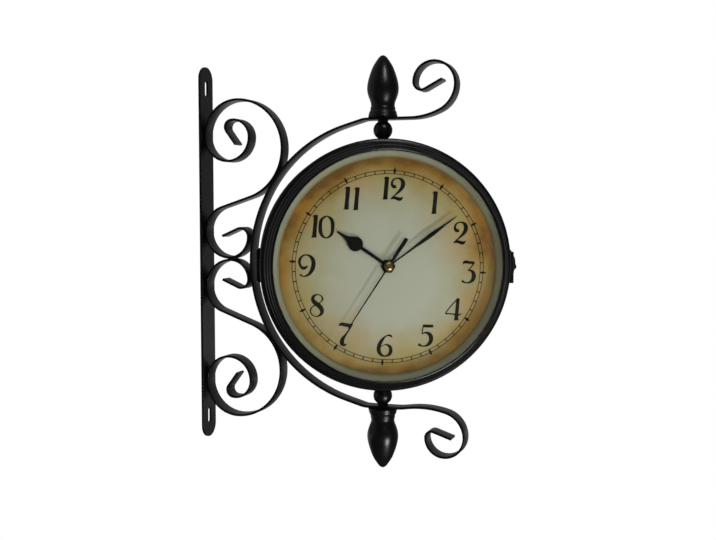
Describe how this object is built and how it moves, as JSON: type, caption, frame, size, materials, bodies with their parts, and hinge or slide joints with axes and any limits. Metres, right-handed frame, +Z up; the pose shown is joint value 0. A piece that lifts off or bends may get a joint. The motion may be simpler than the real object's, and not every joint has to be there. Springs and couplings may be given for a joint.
{
  "type": "double-sided wall clock",
  "caption": "Round two-faced clock with aged dials in a black case that swivels in a scrolled wall bracket; the front half hinges open to reach both movements.",
  "frame": {"origin": "middle of the wall bar's back face, midway between the two screw slots", "axes": "+X away from the wall, +Z up along the bar, -Y towards the viewer of the bracket's front"},
  "size_m": [0.3127, 0.1828, 0.4],
  "materials": {
    "black_paint": "satin black paint on steel",
    "steel": "plain steel",
    "brass": "bright brass",
    "clear_glass": "clear flat glass",
    "cream_ring": "pale greenish cream",
    "aged_dial": "printed dial plate, aged cream with a burnt rim",
    "movement_plastic": "black moulded plastic",
    "wheel_plastic": "white moulded plastic",
    "battery_sleeve": "plain sleeve",
    "board_green": "green board",
    "coil_copper": "enamelled copper wire on a core",
    "hand_black": "matt black paint"
  },
  "bodies": {
    "bracket": {"wall_bar": "black_paint", "upper_scroll": "black_paint", "lower_scroll": "black_paint", "weld_pads": "black_paint", "yoke_arm": "black_paint", "top_finial": "black_paint", "bottom_finial": "black_paint", "pivot_beads": "black_paint", "pivot_bolts": "steel"},
    "case": {"rear_shell": "black_paint", "pivot_bushes": "brass", "rear_hinge_leaf": "black_paint", "hinge_pin": "steel", "latch_catch": "black_paint", "rear_glass": "clear_glass", "rear_pale_ring": "cream_ring", "rear_dial": "aged_dial", "rear_housing": "movement_plastic", "rear_cover": "movement_plastic", "rear_battery": "battery_sleeve", "rear_battery_contacts": "steel", "rear_circuit_board": "board_green", "rear_stator_coil": "coil_copper", "rear_fixing_nut": "brass"},
    "front_half": {"front_shell": "black_paint", "front_hinge_leaf": "black_paint", "latch_plate": "black_paint", "front_glass": "clear_glass", "front_pale_ring": "cream_ring", "front_dial": "aged_dial", "front_housing": "movement_plastic", "front_cover": "movement_plastic", "front_battery": "battery_sleeve", "front_battery_contacts": "steel", "front_circuit_board": "board_green", "front_stator_coil": "coil_copper", "front_fixing_nut": "brass"},
    "hasp": {"latch_hasp": "black_paint"},
    "front_second": {"front_second_wheel": "steel", "front_second_hand": "hand_black"},
    "front_rotor": {"front_rotor": "wheel_plastic"},
    "front_intermediate": {"front_intermediate_wheel": "wheel_plastic"},
    "front_third": {"front_third_wheel": "wheel_plastic"},
    "front_minute": {"front_centre_wheel": "wheel_plastic", "front_minute_hand": "hand_black"},
    "front_motion": {"front_motion_wheel": "wheel_plastic"},
    "front_hour": {"front_hour_wheel": "wheel_plastic", "front_hour_hand": "hand_black"},
    "front_setting": {"front_setting_knob": "wheel_plastic"},
    "rear_second": {"rear_second_wheel": "steel", "rear_second_hand": "hand_black"},
    "rear_rotor": {"rear_rotor": "wheel_plastic"},
    "rear_intermediate": {"rear_intermediate_wheel": "wheel_plastic"},
    "rear_third": {"rear_third_wheel": "wheel_plastic"},
    "rear_minute": {"rear_centre_wheel": "wheel_plastic", "rear_minute_hand": "hand_black"},
    "rear_motion": {"rear_motion_wheel": "wheel_plastic"},
    "rear_hour": {"rear_hour_wheel": "wheel_plastic", "rear_hour_hand": "hand_black"},
    "rear_setting": {"rear_setting_knob": "wheel_plastic"}
  },
  "joints": [
    {"name": "case_swivel", "type": "hinge", "parent": "bracket", "child": "case", "pos_m": [0.192, 0, -0.007], "axis": [0, 0, 1], "continuous": true},
    {"name": "front_half_hinge", "type": "hinge", "parent": "case", "child": "front_half", "pos_m": [0.08798, -0.06046, -0.007], "axis": [0, 0, 1], "range_deg": [-100, 0]},
    {"name": "hasp_hinge", "type": "hinge", "parent": "front_half", "child": "hasp", "pos_m": [0.31019, 0.03598, -0.0103], "axis": [0, 0, 1], "range_deg": [-110, 0]},
    {"name": "front_second_spin", "type": "hinge", "parent": "front_half", "child": "front_second", "pos_m": [0.20873, -0.03523, -0.007], "axis": [-0.4289, 0.9033, 0], "continuous": true},
    {"name": "front_rotor_spin", "type": "hinge", "parent": "front_half", "child": "front_rotor", "pos_m": [0.21544, -0.02208, -0.00845], "axis": [-0.4289, 0.9033, 0], "continuous": true},
    {"name": "front_intermediate_spin", "type": "hinge", "parent": "front_half", "child": "front_intermediate", "pos_m": [0.21034, -0.0245, -0.0105], "axis": [-0.4289, 0.9033, 0], "continuous": true},
    {"name": "front_third_spin", "type": "hinge", "parent": "front_half", "child": "front_third", "pos_m": [0.20893, -0.02517, 0.00079], "axis": [-0.4289, 0.9033, 0], "continuous": true},
    {"name": "front_minute_spin", "type": "hinge", "parent": "front_half", "child": "front_minute", "pos_m": [0.20487, -0.0271, -0.007], "axis": [-0.4289, 0.9033, 0], "continuous": true},
    {"name": "front_motion_spin", "type": "hinge", "parent": "front_half", "child": "front_motion", "pos_m": [0.19674, -0.03096, -0.007], "axis": [-0.4289, 0.9033, 0], "continuous": true},
    {"name": "front_hour_spin", "type": "hinge", "parent": "front_half", "child": "front_hour", "pos_m": [0.20487, -0.0271, -0.007], "axis": [-0.4289, 0.9033, 0], "continuous": true},
    {"name": "front_setting_spin", "type": "hinge", "parent": "front_half", "child": "front_setting", "pos_m": [0.19005, -0.03414, -0.00272], "axis": [-0.4289, 0.9033, 0], "continuous": true},
    {"name": "rear_second_spin", "type": "hinge", "parent": "case", "child": "rear_second", "pos_m": [0.17527, 0.03523, -0.007], "axis": [0.4289, -0.9033, 0], "continuous": true},
    {"name": "rear_rotor_spin", "type": "hinge", "parent": "case", "child": "rear_rotor", "pos_m": [0.16856, 0.02208, -0.00845], "axis": [0.4289, -0.9033, 0], "continuous": true},
    {"name": "rear_intermediate_spin", "type": "hinge", "parent": "case", "child": "rear_intermediate", "pos_m": [0.17366, 0.0245, -0.0105], "axis": [0.4289, -0.9033, 0], "continuous": true},
    {"name": "rear_third_spin", "type": "hinge", "parent": "case", "child": "rear_third", "pos_m": [0.17507, 0.02517, 0.00079], "axis": [0.4289, -0.9033, 0], "continuous": true},
    {"name": "rear_minute_spin", "type": "hinge", "parent": "case", "child": "rear_minute", "pos_m": [0.17913, 0.0271, -0.007], "axis": [0.4289, -0.9033, 0], "continuous": true},
    {"name": "rear_motion_spin", "type": "hinge", "parent": "case", "child": "rear_motion", "pos_m": [0.18726, 0.03096, -0.007], "axis": [0.4289, -0.9033, 0], "continuous": true},
    {"name": "rear_hour_spin", "type": "hinge", "parent": "case", "child": "rear_hour", "pos_m": [0.17913, 0.0271, -0.007], "axis": [0.4289, -0.9033, 0], "continuous": true},
    {"name": "rear_setting_spin", "type": "hinge", "parent": "case", "child": "rear_setting", "pos_m": [0.19395, 0.03414, -0.00272], "axis": [0.4289, -0.9033, 0], "continuous": true}
  ],
  "couplings": [
    {"joint": "front_rotor_spin", "follows": "front_second_spin", "ratio": 30},
    {"joint": "front_intermediate_spin", "follows": "front_second_spin", "ratio": -6},
    {"joint": "front_third_spin", "follows": "front_second_spin", "ratio": -0.13333},
    {"joint": "front_minute_spin", "follows": "front_second_spin", "ratio": 0.016667},
    {"joint": "front_motion_spin", "follows": "front_second_spin", "ratio": -0.0055556},
    {"joint": "front_hour_spin", "follows": "front_second_spin", "ratio": 0.0013889},
    {"joint": "front_setting_spin", "follows": "front_second_spin", "ratio": 0.020833},
    {"joint": "rear_rotor_spin", "follows": "rear_second_spin", "ratio": 30},
    {"joint": "rear_intermediate_spin", "follows": "rear_second_spin", "ratio": -6},
    {"joint": "rear_third_spin", "follows": "rear_second_spin", "ratio": -0.13333},
    {"joint": "rear_minute_spin", "follows": "rear_second_spin", "ratio": 0.016667},
    {"joint": "rear_motion_spin", "follows": "rear_second_spin", "ratio": -0.0055556},
    {"joint": "rear_hour_spin", "follows": "rear_second_spin", "ratio": 0.0013889},
    {"joint": "rear_setting_spin", "follows": "rear_second_spin", "ratio": 0.020833}
  ]
}
